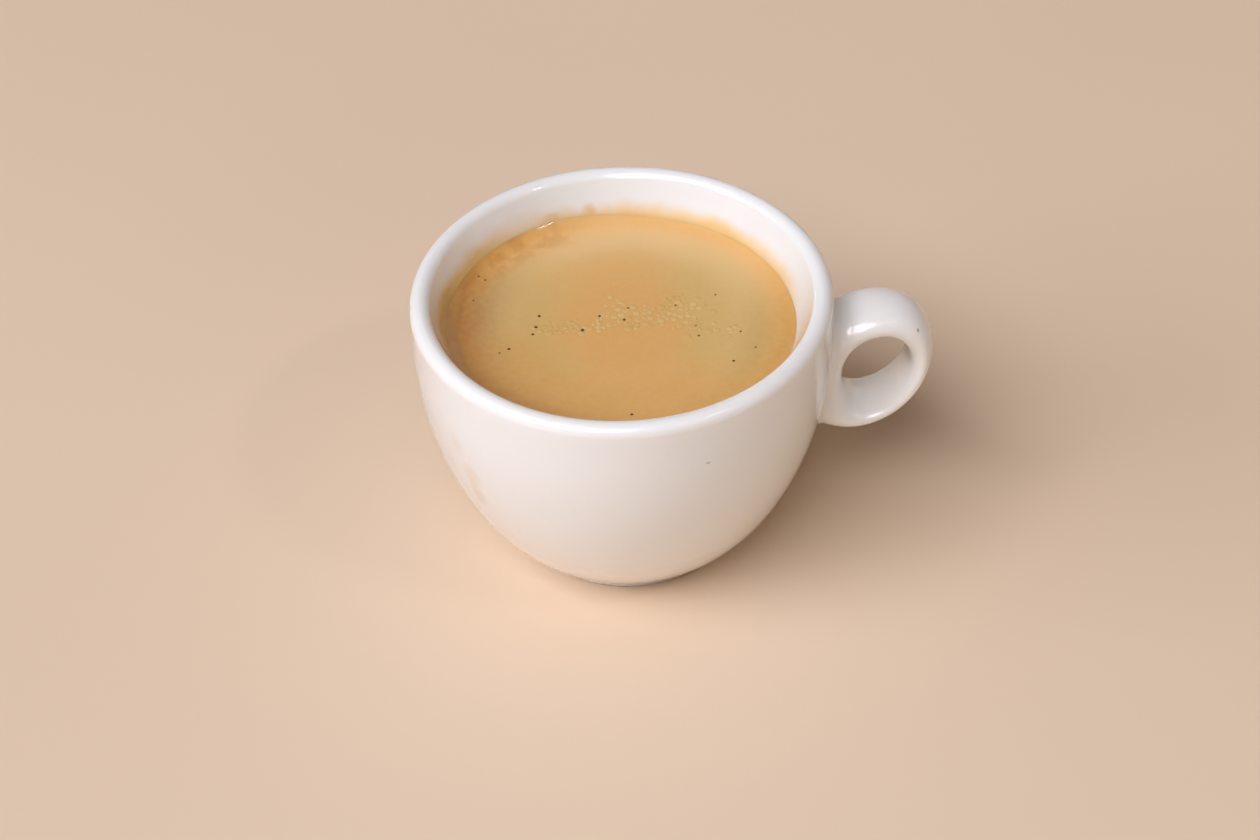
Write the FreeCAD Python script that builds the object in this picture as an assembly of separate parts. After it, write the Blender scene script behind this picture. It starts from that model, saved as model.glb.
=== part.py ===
"""Coffee cup with a ring handle, filled with black coffee under a layer of crema.

One shared frame: the origin is the centre of the plane that the foot rests on, +Z is up along
the axis of the cup and +X points at the handle. All sizes are in millimetres.
Sub-parts: cup (thick-walled porcelain, in one piece with its handle), coffee, crema.
"""
import FreeCAD, Part
import math
import os

V = FreeCAD.Vector

# ---- bowl: outside -------------------------------------------------------------------------
rim_diameter = 92.0        # over the outside of the lip
cup_height = 67.3          # foot to the top of the lip
belly_drop = 11.5          # below the top of the lip the wall starts to turn inward
belly_radius = 85.9        # long arc of the upper wall
heel_height = 19.4         # where the tighter arc of the heel takes over
foot_diameter = 48.0       # over the outside of the foot ring
foot_height = 1.5          # side of the foot ring below the heel

# ---- bowl: inside and lip ------------------------------------------------------------------
lip_thickness = 4.6        # full round
throat_drop = 11.1         # below the top of the lip the flare meets the inner wall
throat_wall = 8.6          # wall thickness there
throat_rounding = 7.0
floor_thickness = 6.0      # over the recess under the foot
floor_inset = 4.0          # edge of the floor inside the foot's outer side
floor_rounding = 7.0

# ---- foot ring -----------------------------------------------------------------------------
foot_land = 2.2            # width of the flat ring that touches the table
foot_edge_rounding = 0.6
foot_inner_slope = 2.0     # how far the ring's inner side leans inward over its height
recess_depth = 2.8
recess_dome = 0.8          # rise of the underside towards the middle

# ---- ring handle ---------------------------------------------------------------------------
# Two ovals in the plane of the axis: the outside of the ring and its finger hole. Each has a
# centre (outward from the rim's radius and down from the lip), two half-sizes, a lean (top
# pushed outward), a rise (outer end pushed up) and a shoulder (diagonals pushed out).
ring_outward = 6.4
ring_down = 24.85
ring_half_reach = 16.3
ring_half_height = 16.4
ring_lean = 2.4
ring_rise = 0.8
ring_shoulder = 0.6
hole_outward = 10.0
hole_down = 25.5
hole_half_reach = 7.4
hole_half_height = 10.0
hole_lean = 1.0
hole_rise = 0.3
hole_shoulder = -0.7
handle_width = 13.3        # across, at the outer end
handle_root_width = 15.9   # across, where it grows out of the wall
handle_edge_fullness = 1.10  # of the section on the side of the finger hole; 1 is an oval
handle_blend = 3.2         # rounding where handle and wall meet

# ---- drink ---------------------------------------------------------------------------------
fill_drop = 10.2           # top of the crema below the top of the lip
crema_thickness = 2.4
meniscus_height = 0.7      # how far the crema climbs the wall
meniscus_width = 2.2

RIM_R = rim_diameter / 2
FOOT_R = foot_diameter / 2
LIP_R = lip_thickness / 2
LIP_C = (RIM_R - LIP_R, cup_height - LIP_R)
FLOOR_Z = recess_depth + floor_thickness


def arc_point(c, z):
    """Point at height z on an arc of the wall, given as centre radius, centre height, radius."""
    return (c[0] + math.sqrt(c[2] ** 2 - (z - c[1]) ** 2), z)


def belly_arc():
    """The long arc stands upright at its top."""
    return (RIM_R - belly_radius, cup_height - belly_drop, belly_radius)


def heel_arc():
    """The short arc leaves the long one without a corner and ends on top of the foot ring."""
    belly = belly_arc()
    joint = arc_point(belly, heel_height)
    n = ((joint[0] - belly[0]) / belly_radius, (joint[1] - belly[1]) / belly_radius)
    d = (joint[0] - FOOT_R, joint[1] - foot_height)
    radius = (d[0] ** 2 + d[1] ** 2) / (2 * (n[0] * d[0] + n[1] * d[1]))
    return (joint[0] - radius * n[0], joint[1] - radius * n[1], radius)


def inner_arc():
    """The inner wall is one arc: upright at the throat, and down to the edge of the floor."""
    throat = (RIM_R - throat_wall, cup_height - throat_drop)
    d = throat[0] - (FOOT_R - floor_inset)
    h = throat[1] - FLOOR_Z
    radius = (d ** 2 + h ** 2) / (2 * d)
    return (throat[0] - radius, throat[1], radius)


def outer_radius(z):
    """Radius of the outer wall at height z."""
    if z < heel_height:
        return arc_point(heel_arc(), z)[0]
    if z < cup_height - belly_drop:
        return arc_point(belly_arc(), z)[0]
    return RIM_R


def flare_line():
    """Straight flare from the throat up to where it touches the lip's round."""
    throat = (RIM_R - throat_wall, cup_height - throat_drop)
    dx = LIP_C[0] - throat[0]
    dz = LIP_C[1] - throat[1]
    reach = math.hypot(dx, dz)
    turn = math.atan2(dz, dx) + math.asin(LIP_R / reach)
    along = math.sqrt(reach ** 2 - LIP_R ** 2)
    return throat, (throat[0] + along * math.cos(turn), throat[1] + along * math.sin(turn))


def inner_radius(z):
    """Radius of the inner wall at height z, below the lip's round."""
    throat, tangent = flare_line()
    if z < throat[1]:
        return arc_point(inner_arc(), z)[0]
    share = (z - throat[1]) / (tangent[1] - throat[1])
    return throat[0] + share * (tangent[0] - throat[0])


def arc(a, m, b):
    return Part.Arc(V(a[0], 0, a[1]), V(m[0], 0, m[1]), V(b[0], 0, b[1])).toShape()


def line(a, b):
    return Part.LineSegment(V(a[0], 0, a[1]), V(b[0], 0, b[1])).toShape()


def wall(c, z_low, z_high):
    """Edge along a wall arc between two heights."""
    return arc(arc_point(c, z_low), arc_point(c, (z_low + z_high) / 2), arc_point(c, z_high))


def lip_point(angle):
    """Point of the lip's round; the angle is from outward, counted over the top."""
    return (LIP_C[0] + LIP_R * math.cos(angle), LIP_C[1] + LIP_R * math.sin(angle))


def polygon(points):
    edges = []
    for i in range(len(points)):
        edges.append(line(points[i - 1], points[i]))
    return edges


def revolve(edges):
    """Turn a closed section round the axis, with its seam on the side away from the handle."""
    face = Part.Face(Part.Wire(Part.__sortEdges__(edges)))
    face.rotate(V(0, 0, 0), V(0, 0, 1), 180)
    return face.revolve(V(0, 0, 0), V(0, 0, 1), 360)


def circles(shape, radius, z):
    """Circular edges of a turned shape with the given radius and height."""
    found = []
    for e in shape.Edges:
        if e.Degenerated:
            continue
        c = e.Curve
        if isinstance(c, Part.Circle) and abs(c.Radius - radius) < 0.01 and abs(c.Center.z - z) < 0.01:
            found.append(e)
    return found


def underside():
    """Section of the foot ring's inner side and the domed recess, from the axis outward."""
    land_in = FOOT_R - foot_land
    recess_r = land_in - foot_inner_slope
    dome_radius = (recess_r ** 2 + recess_dome ** 2) / (2 * recess_dome)
    dome_c = recess_depth + recess_dome - dome_radius
    mid = recess_r / 2
    mid_z = dome_c + math.sqrt(dome_radius ** 2 - mid ** 2)
    top = (0.0, recess_depth + recess_dome)
    edge = (recess_r, recess_depth)
    land = (land_in, 0.0)
    return top, land, [arc(top, (mid, mid_z), edge), line(edge, land)]


def make_bowl():
    """Foot ring, outer wall, full-round lip, flare, inner wall and floor in one section."""
    top, land, section = underside()
    throat, tangent = flare_line()
    shoulder_z = cup_height - belly_drop
    turn = math.atan2(tangent[1] - LIP_C[1], tangent[0] - LIP_C[0]) % (2 * math.pi)
    floor_edge = (FOOT_R - floor_inset, FLOOR_Z)
    section += [
        line(land, (FOOT_R, 0.0)),
        line((FOOT_R, 0.0), (FOOT_R, foot_height)),
        wall(heel_arc(), foot_height, heel_height),
        wall(belly_arc(), heel_height, shoulder_z),
        line((RIM_R, shoulder_z), (RIM_R, LIP_C[1])),
        arc(lip_point(0), lip_point(math.pi / 4), lip_point(math.pi / 2)),
        arc(lip_point(math.pi / 2), lip_point((math.pi / 2 + turn) / 2), tangent),
        line(tangent, throat),
        wall(inner_arc(), FLOOR_Z, throat[1]),
        line(floor_edge, (0.0, FLOOR_Z)),
        line((0.0, FLOOR_Z), top),
    ]
    bowl = revolve(section)
    bowl = bowl.makeFillet(throat_rounding, circles(bowl, throat[0], throat[1]))
    bowl = bowl.makeFillet(floor_rounding, circles(bowl, floor_edge[0], floor_edge[1]))
    feet = circles(bowl, FOOT_R, 0.0) + circles(bowl, land[0], 0.0)
    return bowl.makeFillet(foot_edge_rounding, feet)


def oval(size, t, m):
    """Control point at angle t of an oval outline in the (radius, height) plane.

    m is how many control points go round. A closed cubic B-spline runs inside its control
    points, so each harmonic is enlarged by the amount that the curve will shrink it.
    """
    outward, down, a, b, lean, rise, shoulder = size
    g1 = 3 / (2 + math.cos(2 * math.pi / m))
    g2 = 3 / (2 + math.cos(4 * math.pi / m))
    r = RIM_R + outward + g1 * (a * math.cos(t) + lean * math.sin(t))
    z = cup_height - down + g1 * (b * math.sin(t) + rise * math.cos(t))
    return r, z + g2 * shoulder * math.sin(2 * t)


def make_ring():
    """The ring handle as one closed tube with an oval section that follows both outlines."""
    m = 16
    k = 8
    outside = (ring_outward, ring_down, ring_half_reach, ring_half_height,
               ring_lean, ring_rise, ring_shoulder)
    hole = (hole_outward, hole_down, hole_half_reach, hole_half_height,
            hole_lean, hole_rise, hole_shoulder)
    gain = 3 / (2 + math.cos(2 * math.pi / k))
    poles = []
    for i in range(k):
        s = 2 * math.pi * i / k
        row = []
        for j in range(m):
            t = 2 * math.pi * j / m
            ro, zo = oval(outside, t, m)
            ri, zi = oval(hole, t, m)
            root = (1 - math.cos(t)) / 2
            width = handle_width + (handle_root_width - handle_width) * root
            edge = gain / 2
            if 0.1 < abs(math.sin(s)) < 0.9 and math.cos(s) < 0:
                edge *= handle_edge_fullness
            h = edge * math.cos(s)
            row.append(V((ro + ri) / 2 + h * (ro - ri),
                         edge * math.sin(s) * width,
                         (zo + zi) / 2 + h * (zo - zi)))
        poles.append(row)
    surface = Part.BSplineSurface()
    surface.buildFromPolesMultsKnots(poles, [1] * (k + 1), [1] * (m + 1),
                                     list(range(k + 1)), list(range(m + 1)),
                                     True, True, 3, 3)
    ring = Part.makeSolid(Part.makeShell([surface.toShape()]))
    if ring.Volume < 0:
        ring.reverse()
    return ring


def make_core():
    """Everything inside the middle of the wall, beside the handle; it trims the handle's root."""
    top = cup_height + 10
    high = cup_height - throat_drop
    low = cup_height - ring_down - ring_half_height
    points = [(0.0, top)]
    for z in (high, (high + low) / 2, low):
        points.append(((outer_radius(z) + inner_radius(z)) / 2, z))
    points.insert(1, (points[1][0], top))
    points.append((0.0, low))
    return revolve(polygon(points))


def seam_edges(shape):
    """Edges where the ring's surface meets a turned face of the bowl."""
    found = []
    for e in shape.Edges:
        kinds = []
        for f in shape.ancestorsOfType(e, Part.Face):
            kinds.append(isinstance(f.Surface, Part.BSplineSurface))
        if len(kinds) == 2 and kinds[0] != kinds[1] and e.BoundBox.XMin > RIM_R / 2:
            found.append(e)
    return found


def make_cup():
    ring = make_ring().cut(make_core())
    cup = make_bowl().fuse(ring)
    cup = cup.makeFillet(handle_blend, seam_edges(cup))
    return cup.Solids[0]


def fill(cup, z_low, surface):
    """What fills the bowl from z_low up to a turned surface, face to face with the cup."""
    side = LIP_C[0]
    points = [(0.0, z_low), (side, z_low), (side, surface[-1][1])] + surface[::-1]
    body = revolve(polygon(points)).cut(cup)
    middle = V(0, 0, (max(z_low, FLOOR_Z) + surface[0][1]) / 2)
    for s in body.Solids:
        if s.isInside(middle, 0.01, True):
            return s
    return body


def make_coffee(cup):
    """The liquid, from the floor of the cup to the underside of the crema."""
    top = cup_height - fill_drop - crema_thickness
    return fill(cup, FLOOR_Z - 1.0, [(0.0, top)])


def make_crema(cup):
    """The foam layer: flat, with a soft curl up the wall."""
    top = cup_height - fill_drop
    edge = inner_radius(top + meniscus_height)
    surface = [(0.0, top)]
    steps = 5
    for i in range(steps + 1):
        s = i / steps
        surface.append((edge - meniscus_width * (1 - s), top + meniscus_height * s ** 2))
    return fill(cup, top - crema_thickness, surface)


def main():
    os.makedirs("parts", exist_ok=True)
    cup = make_cup()
    nodes = {"cup": cup, "coffee": make_coffee(cup), "crema": make_crema(cup)}
    for name, shape in nodes.items():
        shape.exportStep("parts/" + name + ".step")
        print(name, "valid", shape.isValid(), "solids", len(shape.Solids),
              "faces", len(shape.Faces), "cm3", round(shape.Volume / 1000, 2))


main()
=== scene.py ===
# %% [markdown]
# # A cup of americano
# The cup is the thick-walled kind used at an espresso bar: white glazed porcelain, about 92 mm across
# the lip, with one ring handle. It is filled to some 10 mm under the lip with black coffee, and on the
# coffee floats a golden crema. The solid shapes are already made to size. This lesson gives them their
# finishes, models the crema in detail, and sets up a small studio table with soft lamps.

# %% Load the solid model
import math
import random

import bmesh
import bpy
from mathutils import Matrix, Vector, noise


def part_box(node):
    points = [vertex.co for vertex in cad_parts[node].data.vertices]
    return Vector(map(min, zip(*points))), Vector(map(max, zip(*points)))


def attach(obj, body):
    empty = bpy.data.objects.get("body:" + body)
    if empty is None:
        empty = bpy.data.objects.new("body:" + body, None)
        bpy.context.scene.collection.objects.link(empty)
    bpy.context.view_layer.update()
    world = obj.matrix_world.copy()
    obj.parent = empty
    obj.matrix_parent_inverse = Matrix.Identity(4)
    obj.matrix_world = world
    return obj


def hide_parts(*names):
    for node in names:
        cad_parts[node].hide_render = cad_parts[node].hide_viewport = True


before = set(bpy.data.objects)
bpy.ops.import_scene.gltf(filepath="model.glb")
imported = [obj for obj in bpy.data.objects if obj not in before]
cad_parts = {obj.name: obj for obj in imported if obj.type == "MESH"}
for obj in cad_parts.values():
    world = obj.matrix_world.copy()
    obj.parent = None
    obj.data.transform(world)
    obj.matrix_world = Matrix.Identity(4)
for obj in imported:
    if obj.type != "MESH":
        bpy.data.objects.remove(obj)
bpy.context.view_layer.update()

scene = bpy.context.scene
cup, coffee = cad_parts["cup"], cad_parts["coffee"]

# %% [markdown]
# ## Measures
# Blender works in metres and a potter in millimetres, so one name turns the one into the other. The
# heights come from the solid model itself: the top of its crema node is the meniscus, the little rim
# that a liquid pulls up a wall, and 0.7 mm lower is the level of the drink.

# %% Heights of the drink
MM = 0.001
MENISCUS = 0.7 * MM
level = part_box("crema")[1].z - MENISCUS
crema_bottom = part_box("crema")[0].z
lip_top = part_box("cup")[1].z
print(f"drink level {level / MM:.1f} mm, lip {lip_top / MM:.1f} mm")


def wall_radius(height):
    """Radius of the cup's inner wall at a height, found by shooting a ray from the axis."""
    found, place, _, _ = cup.ray_cast(Vector((0, 0, height)), Vector((-1, 0, 0)))
    return place.xy.length if found else 0.0


print("inner wall:", [(h, round(wall_radius(h * MM) / MM, 2)) for h in (55, 57, 58, 62)])

# %% [markdown]
# ## Two helpers for the finishes
# Colours are easiest to pick as the hex values that a paint chart or a web page gives. A shader wants
# them linear, so one function does that sum for all of them. The other function adds one node to a
# material: each of its inputs is a number, a hex colour or the output of another node, so each finish
# below reads as a list.


# %% Helpers for colours and nodes
def hex_colour(text):
    """A colour written as sRGB hex, turned to the linear values that shaders use."""
    steps = [int(text[i:i + 2], 16) / 255 for i in (1, 3, 5)]
    linear = [s / 12.92 if s <= 0.04045 else ((s + 0.055) / 1.055) ** 2.4 for s in steps]
    return (*linear, 1.0)


def add(tree, kind, inputs=(), out=0, **settings):
    """Adds one node with its settings and inputs, in order or by name. Gives one of its outputs."""
    made = tree.nodes.new("ShaderNode" + kind)
    for name, value in settings.items():
        setattr(made, name, value)
    for key, value in inputs.items() if isinstance(inputs, dict) else enumerate(inputs):
        if isinstance(value, bpy.types.NodeSocket):
            tree.links.new(value, made.inputs[key])
        else:
            made.inputs[key].default_value = hex_colour(value) if isinstance(value, str) else value
    return made.outputs[out] if made.outputs else made


print("helpers ready; plain white is", hex_colour("#FFFFFF"))

# %% [markdown]
# ## One helper for the shapes
# A shape is built as a bmesh, Blender's editable mesh. Once it is done, three steps make it a thing in
# the scene: it is written to a mesh, shaded smooth, and linked to the scene as an object.


# %% Helper for shapes
def piece_from(name, shape):
    """Turns a finished bmesh into an object in the scene."""
    data = bpy.data.meshes.new(name)
    shape.to_mesh(data)
    shape.free()
    data.shade_smooth()
    piece = bpy.data.objects.new(name, data)
    scene.collection.objects.link(piece)
    return piece


# %% [markdown]
# ## Finding a place on a round thing
# On a cup everything goes round the axis, so the same measures are used again and again: how far a
# point is from the axis, how high it is, and on which side it lies. Each finish starts with an empty
# material and Object coordinates, and two of them go on to those measures in millimetres. The side is a
# direction of length 1; its dot product with a compass direction is 1 on that side of the cup and -1
# on the other. Noise is stretched with its blotch size in millimetres: scale 500 over the size.


# %% A new finish and its measures
def new_finish(name):
    """An empty material, its tree, its shader, and the socket for the place on the object."""
    material = bpy.data.materials.new(name)
    material.use_nodes = True
    tree = material.node_tree
    tree.nodes.clear()
    shader = add(tree, "BsdfPrincipled").node
    add(tree, "OutputMaterial", {"Surface": shader.outputs[0]})
    return material, tree, shader, add(tree, "TexCoord", out="Object")


def round_measures(tree, place):
    """Sockets for the distance from the axis and the height, both in mm, and for the side."""
    in_mm = add(tree, "VectorMath", (place, (1000, 1000, 1000)), operation="MULTIPLY")
    flat = add(tree, "VectorMath", (in_mm, (1, 1, 0)), operation="MULTIPLY")
    radius = add(tree, "VectorMath", (flat,), out="Value", operation="LENGTH")
    height = add(tree, "SeparateXYZ", (in_mm,), out="Z")
    side = add(tree, "VectorMath", (flat,), operation="NORMALIZE")
    return radius, height, side


def compass(degrees):
    """The direction at an angle round the cup: 0 is the handle, 90 the back."""
    return math.cos(math.radians(degrees)), math.sin(math.radians(degrees)), 0.0


print("the handle lies at", compass(0))

# %% [markdown]
# ## The glaze
# Bar cups are cast in hard-paste porcelain and dipped in a clear feldspar glaze, fired at about 1400 C.
# To the eye that is a slightly warm white under a hard, mirror-smooth coat: thin crisp reflections of
# the lamps over a soft diffuse body. A Principled shader with its coat on does just that, with a coat
# IOR of 1.5 for the glass. Light also seeps a few millimetres into porcelain, which softens the edge of
# its shadows. Two whites a shade apart keep it from looking like paint.

# %% The white of the cup
glaze, tree, shader, place = new_finish("porcelain_clear_glaze")
radius, height, side = round_measures(tree, place)
for setting, value in (("IOR", 1.5), ("Specular IOR Level", 0.5), ("Coat Weight", 1.0),
                       ("Coat Roughness", 0.02), ("Coat IOR", 1.5), ("Subsurface Weight", 0.6),
                       ("Subsurface Radius", (1.0, 0.9, 0.8)), ("Subsurface Scale", 3 * MM)):
    shader.inputs[setting].default_value = value
clay = add(tree, "TexNoise", {"Vector": place, "Scale": 500 / 40, "Detail": 3.0})
clay = add(tree, "MapRange", (clay, 0.35, 0.65), interpolation_type="SMOOTHSTEP")
body = add(tree, "Mix", {0: clay, 6: "#F6F4F1", 7: "#F2F0ED"}, 2, data_type="RGBA")
print("glaze body mixed from two whites")

# %% [markdown]
# ## What the coffee left on the cup
# As the cup was filled the crema climbed the wall and ran back, so a film of it stays above the drink:
# tan, frothy and ragged on the left, a clear orange wash at the back and on the right, where it fades
# out. It could be a mesh of its own, but a film this thin has no thickness to see, so it is painted
# into the glaze. The height over the drink drives a ramp, and noise with lumps of 6 mm moves its top
# up and down.

# %% Where the film lies
over = add(tree, "Math", (height, level / MM), operation="SUBTRACT")
in_bowl = add(tree, "MapRange", (radius, 41.5, 42.0, 1, 0))      # not on the lip and outside
near_drink = add(tree, "MapRange", (over, -4.0, -3.5))           # not on the floor
inside = add(tree, "Math", (in_bowl, near_drink), operation="MULTIPLY")
lumps = add(tree, "TexNoise", {"Vector": place, "Scale": 500 / 6, "Detail": 4.0, "Roughness": 0.5})
left = add(tree, "VectorMath", (side, compass(176)), out="Value", operation="DOT_PRODUCT")
left = add(tree, "MapRange", (left, 0.30, 0.92), interpolation_type="SMOOTHSTEP")
wobble = add(tree, "MapRange", (lumps, 0.3, 0.7, -1.0, 1.0))
lowered = add(tree, "Math", (over, wobble), operation="SUBTRACT")
# Both coats are full up to the first height and gone at the second.
fresh = add(tree, "MapRange", (lowered, 0.6, 4.8, 0.96, 0), interpolation_type="SMOOTHSTEP")
torn = add(tree, "MapRange", (lowered, 3.4, 7.0, 0.96, 0), interpolation_type="SMOOTHSTEP")
film = add(tree, "Mix", {0: left, 2: fresh, 3: torn})
reach = add(tree, "VectorMath", (side, compass(112)), out="Value", operation="DOT_PRODUCT")
reach = add(tree, "MapRange", (reach, -0.55, 0.05), interpolation_type="SMOOTHSTEP")
film = add(tree, "Math", (film, reach), operation="MULTIPLY")
film = add(tree, "Math", (film, inside), operation="MULTIPLY")
print("film fades out 5 mm over the drink at the back and 7 mm on the left")

# %% Colours of the film
dark_froth = add(tree, "MapRange", (lumps, 0.35, 0.65), interpolation_type="SMOOTHSTEP")
froth_colour = add(tree, "Mix", {0: dark_froth, 6: "#EAC26C", 7: "#DDAE54"}, 2, data_type="RGBA")
film_colour = add(tree, "Mix", {0: left, 6: "#F3C678", 7: froth_colour}, 2, data_type="RGBA")
body = add(tree, "Mix", {0: film, 6: body, 7: film_colour}, 2, data_type="RGBA")
print("film coloured orange at the back and tan on the left")

# %% [markdown]
# Two splashes stand higher than the film at the back. Under the lip on the left a drip dried on the
# outside, a faint tan run, and there is a tiny brown fleck in front and a grey one on the handle. Each
# is a distance from a spot: a Mapping node moves the spot to zero and stretches it to size, and noise
# makes its edge ragged.

# %% Splashes, dried drip and two flecks
SPOTS = (
    # x, y, z in mm, half width, half height, colour, strength
    (-3.8, 38.6, 59.7, 2.0, 2.0, "#EDB763", 0.60),
    (-12.6, 36.4, 60.0, 2.4, 1.3, "#E8AE5C", 0.45),
    (-35.2, -27.5, 41.5, 3.4, 4.0, "#E6C7A4", 0.32),
    (-34.2, -26.8, 35.0, 2.8, 4.5, "#E3C29C", 0.38),
    (-38.0, -25.4, 49.0, 2.2, 4.0, "#EAD3BB", 0.26),
    (13.8, -43.8, 54.7, 0.62, 0.40, "#A88A80", 0.60),
    (64.5, -5.9, 54.0, 0.40, 0.80, "#8C857D", 0.80),
)
for x, y, z, wide, tall, colour, strength in SPOTS:
    near = add(tree, "Mapping", {"Vector": place, "Location": (-x / wide, -y / wide, -z / tall),
                                 "Scale": (1000 / wide, 1000 / wide, 1000 / tall)})
    away = add(tree, "VectorMath", (near,), out="Value", operation="LENGTH")
    rough_edge = add(tree, "TexNoise", {"Vector": place, "Scale": 500 / wide, "Detail": 3.0})
    away = add(tree, "Math", (away, rough_edge), operation="ADD")
    spot = add(tree, "MapRange", (away, 0.80, 1.75, strength, 0), interpolation_type="SMOOTHSTEP")
    body = add(tree, "Mix", {0: spot, 6: body, 7: colour}, 2, data_type="RGBA")
tree.links.new(body, shader.inputs["Base Color"])
print(len(SPOTS), "spots on the glaze")

# %% [markdown]
# The film is duller than the glaze and slightly raised, so its mask feeds the roughness and the bump
# too. The glaze itself is never flat: it pulls into waves some 11 mm long and a tenth of a millimetre
# high, which make a reflection wander a little.

# %% Waves of the glaze
dull = add(tree, "MapRange", (film, 0.0, 1.0, 0.30, 0.52))
tree.links.new(dull, shader.inputs["Roughness"])
waves = add(tree, "TexNoise", {"Vector": place, "Scale": 500 / 11, "Detail": 1.0, "Roughness": 0.4})
crust = add(tree, "Math", (film, lumps), operation="MULTIPLY")
relief = add(tree, "Math", (crust, 1.5, waves), operation="MULTIPLY_ADD")
ripple = add(tree, "Bump", {"Height": relief, "Strength": 0.35, "Distance": 0.12 * MM})
tree.links.new(ripple, shader.inputs["Normal"])
tree.links.new(ripple, shader.inputs["Coat Normal"])
cup.data.materials.clear()
cup.data.materials.append(glaze)
print("cup has", len(cup.data.polygons), "faces")

# %% [markdown]
# ## The coffee
# Black coffee is water with a little oil and a lot of brown: almost black where it is deep and red-brown
# at a thin edge. Nearly all of it lies hidden under the crema. It stays the solid model's own piece,
# with the IOR of water, a wet surface, and a slow change of brown where grounds hang in it.

# %% Coffee under the crema
brew, tree, shader, place = new_finish("black_coffee_brewed")
cloud = add(tree, "TexNoise", {"Vector": place, "Scale": 500 / 14, "Detail": 2.0})
cloud = add(tree, "MapRange", (cloud, 0.3, 0.7), interpolation_type="SMOOTHSTEP")
brown = add(tree, "Mix", {0: cloud, 6: "#2B1309", 7: "#3C1D0E"}, 2, data_type="RGBA")
tree.links.new(brown, shader.inputs["Base Color"])
shader.inputs["Roughness"].default_value = 0.06
shader.inputs["IOR"].default_value = 1.333
still = add(tree, "Bump", {"Height": cloud, "Strength": 0.2, "Distance": 0.1 * MM})
tree.links.new(still, shader.inputs["Normal"])
coffee.data.materials.clear()
coffee.data.materials.append(brew)
print("coffee has", len(coffee.data.polygons), "faces")

# %% [markdown]
# ## The crema
# Crema is a raft of fine bubbles, 2 or 3 mm thick. Its top is nearly level, pulled up the wall at its
# edge in a meniscus, and it is joined to the wall with no gap. A disc could be sculpted, but a round
# thing is quickest made by turning half of its section round the axis. The section runs from the axis
# over the top, up the meniscus, a hair into the wall, down the wall and back underneath.

# %% Half section of the crema
WALL_BITE = 0.15 * MM     # how far the edge reaches into the wall, so that no gap shows
MENISCUS_WIDTH = 2.2 * MM
MENISCUS_CURVE = 2.2      # 1 would be a straight slope
CROWDING = 1.5            # how much closer the rings get near the wall; 1 would be even
RINGS, SPOKES, SIDE_STEPS = 72, 288, 4
edge_radius = wall_radius(level + MENISCUS)


def top_of_section(step):
    """A point of the top, from the axis at 0 to the wall at 1, closer together near the wall."""
    share = 1 - (1 - step) ** CROWDING
    r = share * edge_radius
    climb = max(0.0, 1 - (edge_radius - r) / MENISCUS_WIDTH)
    return Vector((-r, 0, level + MENISCUS * climb ** MENISCUS_CURVE))


section = [top_of_section(i / RINGS) for i in range(RINGS + 1)]
section.append(Vector((-edge_radius - WALL_BITE, 0, level + MENISCUS)))
for step in range(SIDE_STEPS + 1):
    z = level - (level - crema_bottom) * step / SIDE_STEPS
    section.append(Vector((-wall_radius(z) - WALL_BITE, 0, z)))
section.append(Vector((0, 0, crema_bottom)))
print(len(section), "points in the section, edge at", round(edge_radius / MM, 2), "mm")

# %% Turn the section into a disc
crema_mesh = bmesh.new()
points = [crema_mesh.verts.new(p) for p in section]
lines = [crema_mesh.edges.new(pair) for pair in zip(points, points[1:])]
bmesh.ops.spin(crema_mesh, geom=points + lines, cent=(0, 0, 0), axis=(0, 0, 1),
               angle=math.tau, steps=SPOKES, use_merge=True)
bmesh.ops.remove_doubles(crema_mesh, verts=crema_mesh.verts[:], dist=1e-6)
bmesh.ops.recalc_face_normals(crema_mesh, faces=crema_mesh.faces[:])
print(len(crema_mesh.faces), "faces in the crema")

# %% [markdown]
# The surface isn't a mirror. It has slow swells from pouring, and along the wall on the left a froth
# of coarser bubbles stands a few tenths of a millimetre proud. From the back round to the left the
# crema also clings to the wall in a wedge, which catches the light. Moving each point of the top by a
# noise gives the first two. For the wedge a point near the wall goes up and, as the wall leans out,
# outwards by as much as the wall does over that height, so that the edge stays closed.

# %% Swells, froth and the wedge on the wall
WEDGE_HEIGHT, WEDGE_WIDTH, WEDGE_CURVE = 1.1 * MM, 2.4 * MM, 1.2
WEDGE_SIDE, FROTH_SIDE = (145, 70), (155, 42)           # middle and half width, in degrees
SWELL_HEIGHT, RIPPLE_HEIGHT, FROTH_HEIGHT = 0.10 * MM, 0.025 * MM, 0.7 * MM
SWELL_RATE, RIPPLE_RATE, FROTH_RATE = 55, 260, 900      # lumps in a metre
FROTH_START, FROTH_FULL = 30.5 * MM, 33.5 * MM          # radius


def clamp(value):
    """The value, kept between 0 and 1."""
    return min(1.0, max(0.0, value))


def share_of_side(point, middle, half):
    """1 in the middle of a stretch of the wall and 0 past half its width, both in degrees."""
    turn = math.degrees(math.atan2(point.y, point.x)) % 360
    return clamp(1 - abs(turn - middle) / half)


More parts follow.
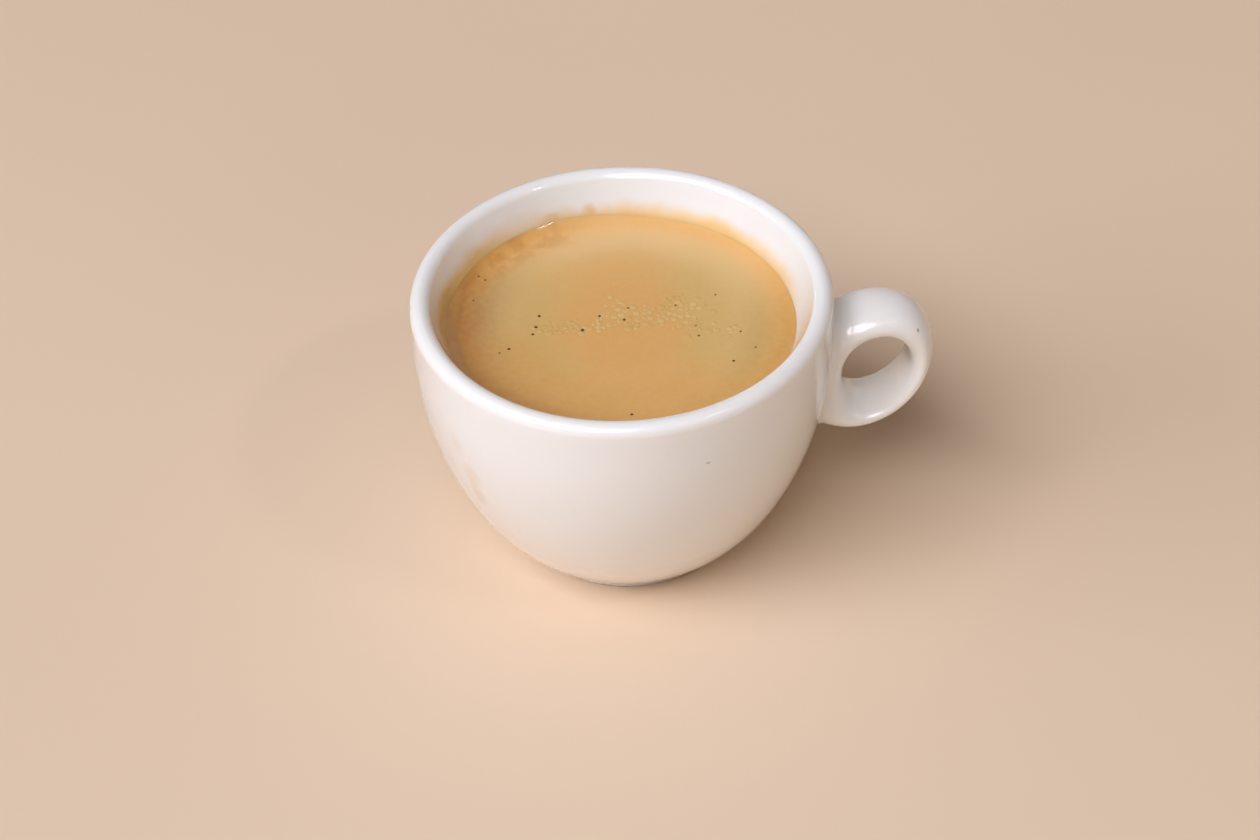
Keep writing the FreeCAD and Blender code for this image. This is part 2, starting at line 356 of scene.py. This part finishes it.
for v in crema_mesh.verts:
    r = v.co.xy.length
    if v.co.z < level - 0.05 * MM:       # below the level, the side and the underside stay
        continue
    swell = noise.noise(v.co * SWELL_RATE) * SWELL_HEIGHT
    swell += noise.noise(v.co * RIPPLE_RATE) * RIPPLE_HEIGHT
    froth = share_of_side(v.co, *FROTH_SIDE) * clamp((r - FROTH_START) / (FROTH_FULL - FROTH_START))
    froth *= abs(noise.noise(v.co * FROTH_RATE)) * FROTH_HEIGHT
    calm = clamp((edge_radius - r) / (1 * MM))          # flat in the last millimetre
    rise = WEDGE_HEIGHT * clamp(2.5 * share_of_side(v.co, *WEDGE_SIDE))
    near_wall = clamp(1 - (edge_radius - r) / WEDGE_WIDTH) ** WEDGE_CURVE
    outwards = (wall_radius(level + MENISCUS + rise) - edge_radius) * near_wall
    v.co.z += (swell + froth) * calm + rise * near_wall
    if r > 1 * MM:
        v.co.xy *= (r + outwards) / r
crema = piece_from("crema_top", crema_mesh)
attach(crema, "root")
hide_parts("crema")
print("crema in the cup,", len(crema.data.vertices), "points")

# %% [markdown]
# ## The colour of the crema
# Crema is coffee-tinted foam: the finer its bubbles the paler it looks. From the middle outwards it
# goes from an orange tan, through a paler ring, to a clear orange band where it thickens at the wall.
# A colour ramp over the radius gives those rings, and a slow noise added to the radius keeps them from
# being drawn with a compass.

# %% Rings of the crema
foam, tree, shader, place = new_finish("crema_fine_coffee_foam")
radius, _, side = round_measures(tree, place)
drift = add(tree, "TexNoise", {"Vector": place, "Scale": 500 / 26, "Detail": 2.0})
drift = add(tree, "MapRange", (drift, 0.0, 1.0, -4.5, 4.5))
bent_radius = add(tree, "Math", (radius, drift), operation="ADD")
LAST_RING = 38.0                # mm
RING_COLOURS = (                # share of the way to the last ring, colour
    (0.0, "#E0A75E"), (0.32, "#DFA860"), (0.58, "#E1AF69"), (0.76, "#E4B87A"),
    (0.86, "#E5B46F"), (0.94, "#E5AA5B"), (1.0, "#E3A14E"),
)
along_ramp = add(tree, "MapRange", (bent_radius, 0.0, LAST_RING))
foam_colour = add(tree, "ValToRGB", (along_ramp,))
ramp = foam_colour.node.color_ramp
while len(ramp.elements) < len(RING_COLOURS):
    ramp.elements.new(0.5)
for stop, (at, colour) in zip(ramp.elements, RING_COLOURS):
    stop.position, stop.color = at, hex_colour(colour)
print("rings at", [round(at * LAST_RING, 1) for at, _ in RING_COLOURS], "mm")

# %% [markdown]
# The rings aren't the same all the way round. The foam is olive in swirls and on both flanks and paler
# in a crescent at the back. On the left a painted shadow of the left wall darkens it to brown, and the
# shadow is lifted again at its very edge. Each of these is a side of the cup multiplied by a range of
# the radius.

# %% Olive swirls and flanks
swirl = add(tree, "Mapping", {"Vector": place, "Scale": (0.7, 1.6, 1)})
swirl = add(tree, "TexNoise", {"Vector": swirl, "Scale": 500 / 15, "Detail": 3.0, "Roughness": 0.55})
swirl = add(tree, "MapRange", (swirl, 0.40, 0.66), interpolation_type="SMOOTHSTEP")
flank = add(tree, "VectorMath", (side, compass(3)), out="Value", operation="DOT_PRODUCT")
flank = add(tree, "Math", (flank,), operation="ABSOLUTE")
flank = add(tree, "MapRange", (flank, 0.35, 0.90), interpolation_type="SMOOTHSTEP")
swirl = add(tree, "Math", (swirl, 0.6), operation="MULTIPLY")
olive = add(tree, "Math", (swirl, flank), operation="MAXIMUM")
outside_middle = add(tree, "MapRange", (radius, 9.0, 21.0), interpolation_type="SMOOTHSTEP")
short_of_wall = add(tree, "MapRange", (bent_radius, 30.5, 35.5, 0.62, 0),
                    interpolation_type="SMOOTHSTEP")
olive = add(tree, "Math", (olive, outside_middle), operation="MULTIPLY")
olive = add(tree, "Math", (olive, short_of_wall), operation="MULTIPLY")
foam_colour = add(tree, "Mix", {0: olive, 6: foam_colour, 7: "#CDAF6A"}, 2, data_type="RGBA")
print("olive swirls mixed in")

# %% Crescents: pale at the back, a painted shadow in brown on the left with a lighter edge, olive and orange in front
CRESCENTS = (
    # side, where it starts and is full (as a dot product), radius in mm from and to, share, colour
    (66, 0.25, 0.90, 22.0, 31.0, 0.38, "#F0C88E"),
    # painted shadow of the left wall on the crema, in brown
    (202, 0.30, 0.95, 23.5, 34.5, 0.74, "#9E6014"),
    # the painted shadow lifted again at the very edge, by the wall
    (178, 0.35, 0.90, 35.8, 37.6, 0.55, "#E2A852"),
    (-55, 0.00, 0.80, 24.0, 33.0, 0.55, "#B88E48"),
    (250, 0.00, 0.80, 14.0, 24.0, 0.60, "#D99E52"),
)
for angle, start, full, inner, outer, share, colour in CRESCENTS:
    turn = add(tree, "VectorMath", (side, compass(angle)), out="Value", operation="DOT_PRODUCT")
    turn = add(tree, "MapRange", (turn, start, full), interpolation_type="SMOOTHSTEP")
    band = add(tree, "MapRange", (bent_radius, inner, outer, 0, share),
               interpolation_type="SMOOTHSTEP")
    crescent = add(tree, "Math", (turn, band), operation="MULTIPLY")
    foam_colour = add(tree, "Mix", {0: crescent, 6: foam_colour, 7: colour}, 2, data_type="RGBA")
print(len(CRESCENTS), "crescents")

# %% [markdown]
# Close to, crema is grain: bubbles too fine to count, here pale specks just under 1 mm wide, drawn
# coarser than they are so that they show. In the froth on the back left the bubbles are coarse, and
# the foam is mottled with brown.

# %% Grain and mottled froth
fine = add(tree, "TexNoise", {"Vector": place, "Scale": 500 / 0.8, "Detail": 2.0, "Roughness": 0.6})
fine = add(tree, "MapRange", (fine, 0.3, 0.7, 0.0, 0.12), interpolation_type="SMOOTHSTEP")
foam_colour = add(tree, "Mix", {0: fine, 6: foam_colour, 7: "#E6C188"}, 2, data_type="RGBA")
patch = add(tree, "TexNoise", {"Vector": place, "Scale": 500 / 4, "Detail": 3.0, "Roughness": 0.6})
patch = add(tree, "MapRange", (patch, 0.42, 0.60, 0.0, 0.40), interpolation_type="SMOOTHSTEP")
frothy = add(tree, "VectorMath", (side, compass(150)), out="Value", operation="DOT_PRODUCT")
frothy = add(tree, "MapRange", (frothy, 0.55, 0.85), interpolation_type="SMOOTHSTEP")
at_edge = add(tree, "MapRange", (radius, 30.5, 34.0), interpolation_type="SMOOTHSTEP")
frothy = add(tree, "Math", (frothy, at_edge), operation="MULTIPLY")
mottled = add(tree, "Math", (frothy, patch), operation="MULTIPLY")
foam_colour = add(tree, "Mix", {0: mottled, 6: foam_colour, 7: "#C4833C"}, 2, data_type="RGBA")
tree.links.new(foam_colour, shader.inputs["Base Color"])
print("grain and froth mixed in")

# %% [markdown]
# The foam lets light in and scatters it, so a little subsurface with a radius of about a millimetre
# takes the hardness off its shadows. The skin of liquid over the bubbles is wet and gives a clear gloss,
# as a coat with the IOR of water. A bump from two noises, at 0.5 mm and 3 mm, is their texture.

# %% Gloss and grain of the crema
for setting, value in (("Roughness", 0.38), ("IOR", 1.34), ("Subsurface Weight", 0.25),
                       ("Subsurface Radius", (1.0, 0.55, 0.25)), ("Subsurface Scale", 1.2 * MM),
                       ("Coat Weight", 0.9), ("Coat Roughness", 0.04), ("Coat IOR", 1.333)):
    shader.inputs[setting].default_value = value
pores = add(tree, "TexNoise", {"Vector": place, "Scale": 500 / 0.5, "Detail": 1.0})
dimples = add(tree, "TexNoise", {"Vector": place, "Scale": 500 / 3, "Detail": 2.0})
grain = add(tree, "Math", (dimples, 1.6, pores), operation="MULTIPLY_ADD")
grain = add(tree, "Bump", {"Height": grain, "Strength": 0.28, "Distance": 0.10 * MM})
tree.links.new(grain, shader.inputs["Normal"])
crema.data.materials.append(foam)
print("crema finish on", crema.name)

# %% [markdown]
# ## Bubbles
# A drift of bubbles 0.7 to 2 mm wide lies across the middle, slightly to the back, thickest on the
# right. Each is a very low cap of liquid film, made as a small flattened ball that is sunk into the
# foam so that only its cap shows. All of them are one piece, and all are built by one function. The
# places are drawn from a seeded random number round a few middles, and a bubble that would sit inside
# another is thrown away, as bubbles push each other aside.

# %% Places for the bubbles
dice = random.Random(11)
DRIFT = (  # middle x and y, spread in x and y, all in mm, and how many are tried
    (-15.8, 1.2, 1.8, 0.8, 60), (-11.5, 0.2, 2.0, 0.9, 60), (-5.0, 0.6, 2.4, 0.9, 44),
    (0.0, 4.4, 2.4, 2.2, 60), (2.5, 0.4, 2.8, 0.9, 40), (8.0, 2.8, 2.4, 1.8, 50),
    (12.0, 5.0, 3.0, 2.2, 70), (14.2, 0.6, 2.0, 2.0, 50), (17.2, -2.8, 1.6, 0.8, 14),
    (24.2, -4.0, 1.2, 0.8, 8),
)
LARGE, SMALL, LARGE_SHARE = (0.62, 0.98), (0.36, 0.62), 0.65     # radii in mm
OVERLAP = 0.84            # how near two may be, as a share of both radii
bubbles = []
for x, y, wide, deep, count in DRIFT:
    for _ in range(count):
        spot = Vector((x + dice.gauss(0, wide), y + dice.gauss(0, deep), 0))
        size = dice.uniform(*(LARGE if dice.random() < LARGE_SHARE else SMALL))
        if all((spot - other).length > (size + r) * OVERLAP for other, r in bubbles):
            bubbles.append((spot, size))
print(len(bubbles), "bubbles")


# %% Bubbles as low caps
def surface_height(x, y):
    """Height of the crema's top at a place given in millimetres."""
    found, place, _, _ = crema.ray_cast(Vector((x * MM, y * MM, lip_top)), Vector((0, 0, -1)))
    return place.z if found else level


def caps(name, spots, flatness, sunk, across=12, along=8):
    """One mesh of small flattened balls, each sunk into the crema by a share of its height."""
    made = bmesh.new()
    for spot, size in spots:
        lie = Matrix.Translation((spot.x * MM, spot.y * MM, surface_height(spot.x, spot.y)
                                  - size * flatness * sunk * MM))
        shape = Matrix.Diagonal((size * MM, size * MM, size * flatness * MM, 1))
        bmesh.ops.create_uvsphere(made, u_segments=across, v_segments=along, radius=1.0,
                                  matrix=lie @ shape)
    piece = piece_from(name, made)
    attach(piece, "root")
    print(name, "has", len(piece.data.polygons), "faces")
    return piece


bpy.context.view_layer.update()
bubble_caps = caps("crema_bubbles", bubbles, flatness=0.15, sunk=0.35)

# %% [markdown]
# A bubble shows the foam under it, a touch paler, because its film catches the light. So its finish is
# the crema's colour made lighter, smooth and softly glossy, with the IOR of water.

# %% Bubble film
film_finish, tree, shader, place = new_finish("bubble_film_on_crema")
tone = add(tree, "TexNoise", {"Vector": place, "Scale": 500 / 2.5, "Detail": 1.0})
tone = add(tree, "MapRange", (tone, 0.35, 0.65), interpolation_type="SMOOTHSTEP")
tone = add(tree, "Mix", {0: tone, 6: "#DCAC67", 7: "#E2B575"}, 2, data_type="RGBA")
tree.links.new(tone, shader.inputs["Base Color"])
for setting, value in (("Roughness", 0.40), ("IOR", 1.333), ("Subsurface Weight", 0.3),
                       ("Subsurface Radius", (1.0, 0.55, 0.25)), ("Subsurface Scale", 0.8 * MM)):
    shader.inputs[setting].default_value = value
bubble_caps.data.materials.append(film_finish)
print("bubble finish ready")

# %% [markdown]
# ## Pinholes
# Where a bubble burst it left a pinhole, and the black coffee shows through. They are few and placed
# one by one: three in a row at the left end of the drift, a few in it, two out on the left, some on
# the right, one in front and three in the froth at the wall. Half a millimetre to one across, each is a
# flat lens set just proud of the foam, since a hole this small is only seen as a dark spot.

# %% Burst bubbles
PINHOLES = (  # x, y and radius in mm
    (-17.9, 5.5, 0.38), (-18.9, 1.7, 0.42), (-19.7, -0.6, 0.36), (-25.2, -4.9, 0.36),
    (-27.3, -6.0, 0.24), (-8.8, -0.5, 0.44), (-4.7, 3.8, 0.38), (1.8, 5.7, 0.32),
    (0.6, 1.9, 0.36), (16.0, -2.0, 0.28), (16.2, -5.5, 0.30), (22.7, -14.8, 0.32),
    (25.4, -5.2, 0.26), (21.4, 8.0, 0.24), (12.3, 5.5, 0.26), (28.0, -10.9, 0.24),
    (-0.7, -29.5, 0.34), (-29.0, 19.4, 0.30), (-32.0, 12.6, 0.28), (-30.4, 20.6, 0.24),
)
holes = caps("crema_pinholes", [(Vector((x, y, 0)), r) for x, y, r in PINHOLES],
             flatness=0.30, sunk=-0.05, across=10, along=6)
hole_finish, tree, shader, place = new_finish("pinhole_black_coffee")
deep = add(tree, "TexNoise", {"Vector": place, "Scale": 500 / 0.6, "Detail": 1.0})
deep = add(tree, "MapRange", (deep, 0.3, 0.7), interpolation_type="SMOOTHSTEP")
deep = add(tree, "Mix", {0: deep, 6: "#4A300E", 7: "#6B4A18"}, 2, data_type="RGBA")
tree.links.new(deep, shader.inputs["Base Color"])
shader.inputs["Roughness"].default_value = 0.35
shader.inputs["IOR"].default_value = 1.333
holes.data.materials.append(hole_finish)
print(len(PINHOLES), "pinholes")

# %% [markdown]
# ## The table
# The cup stands on a sheet of plain pale card, a warm beige. A plane some three metres wide is enough
# for the camera to see nothing else. Card has a faint cloudiness and a fine tooth, so a large noise
# moves its colour by a shade and a small one its bump.

# %% A sheet of beige card
card_mesh = bmesh.new()
bmesh.ops.create_grid(card_mesh, x_segments=8, y_segments=8, size=1.6)
card = piece_from("card_table", card_mesh)
card_finish, tree, shader, place = new_finish("beige_uncoated_card")
clouds = add(tree, "TexNoise", {"Vector": place, "Scale": 500 / 160, "Detail": 2.0})
clouds = add(tree, "MapRange", (clouds, 0.3, 0.7), interpolation_type="SMOOTHSTEP")
beige = add(tree, "Mix", {0: clouds, 6: "#E7CBAE", 7: "#EACFB3"}, 2, data_type="RGBA")
tree.links.new(beige, shader.inputs["Base Color"])
shader.inputs["Roughness"].default_value = 0.75
tooth = add(tree, "TexNoise", {"Vector": place, "Scale": 500 / 1.2, "Detail": 2.0})
tooth = add(tree, "Bump", {"Height": tooth, "Strength": 0.15, "Distance": 0.1 * MM})
tree.links.new(tooth, shader.inputs["Normal"])
card.data.materials.append(card_finish)
print("card laid on the table")

# %% [markdown]
# ## Lamps
# A large soft box stands in front on the left, well up, and a smaller one on the left beside it: they
# draw the broad band of light along the lip and throw one soft shadow to the right. They stand 4 m
# away, so that the light hardly changes over the table. A small lamp in front on the right gives the
# short crisp glints that show the glaze is glass.


# %% Lamps round the cup
def lamp(name, azimuth, elevation, distance, wide, tall, watts, colour):
    """A rectangular lamp that looks at the middle of the cup from a direction in degrees."""
    e = math.radians(elevation)
    light = bpy.data.lights.new(name, "AREA")
    light.shape, light.size, light.size_y = "RECTANGLE", wide, tall
    light.energy, light.color = watts, hex_colour(colour)[:3]
    thing = bpy.data.objects.new(name, light)
    towards = Vector(compass(azimuth)) * math.cos(e) + Vector((0, 0, math.sin(e)))
    thing.location = towards * distance + Vector((0, 0, 40 * MM))
    thing.rotation_euler = towards.to_track_quat("Z", "Y").to_euler()
    scene.collection.objects.link(thing)


lamp("softbox_front_left", -132, 53, 4.0, 3.7, 2.1, 157.0, "#F2F5FF")
lamp("softbox_left", -168, 26, 4.0, 2.3, 1.15, 44.0, "#E0ECFF")
lamp("strip_front_right", -38, 50, 2.4, 0.34, 0.12, 3.0, "#FFFFFF")
scene.view_settings.view_transform = "Standard"

# %% [markdown]
# The air of the studio has two jobs. As a light it only lifts the shadows, weak and warm. To the
# camera, and in anything glossy, it is a pale beige room. A Light Path node tells the two kinds of ray
# apart, so the room can be pale without lighting the cup.

# %% The room round the table
world = bpy.data.worlds.new("studio_air")
scene.world = world
world.use_nodes = True
tree = world.node_tree
tree.nodes.clear()
ray = add(tree, "LightPath").node.outputs
seen = add(tree, "Math", (ray["Is Camera Ray"], ray["Is Glossy Ray"]), operation="MAXIMUM")
seen = add(tree, "Math", (seen, ray["Is Transmission Ray"]), operation="MAXIMUM")
fill_light = add(tree, "Background", ("#FFE2C4", 0.11))
pale_room = add(tree, "Background", ("#F0E4D8", 0.70))
air = add(tree, "MixShader", (seen, fill_light, pale_room))
add(tree, "OutputWorld", (air,))
print("studio air: weak as a light, pale to the eye")

# %% [markdown]
# ## Camera
# The view is that of someone seated at the table: about 42 degrees down, from some 0.6 m, through an
# 80 mm lens, with the horizon tipped by 2 degrees. A camera looks along its own -Z, so its turn is
# worked out from the direction it looks in, and the tip is a turn about that direction.

# %% Camera at the table
camera_data = bpy.data.cameras.new("table_camera")
camera_data.lens, camera_data.sensor_width = 80.0, 36.0
camera = bpy.data.objects.new("table_camera", camera_data)
camera.location = Vector((-31.95, -470.46, 448.87)) * MM
look = Vector((0.05211, 0.74528, -0.66472))
level_turn = look.to_track_quat("-Z", "Y").to_matrix()
tip = Matrix.Rotation(math.radians(1.994), 3, look)
camera.rotation_euler = (tip @ level_turn).to_euler()
scene.collection.objects.link(camera)
scene.camera = camera
print("camera up is", [round(c, 4) for c in (tip @ level_turn).col[1]])
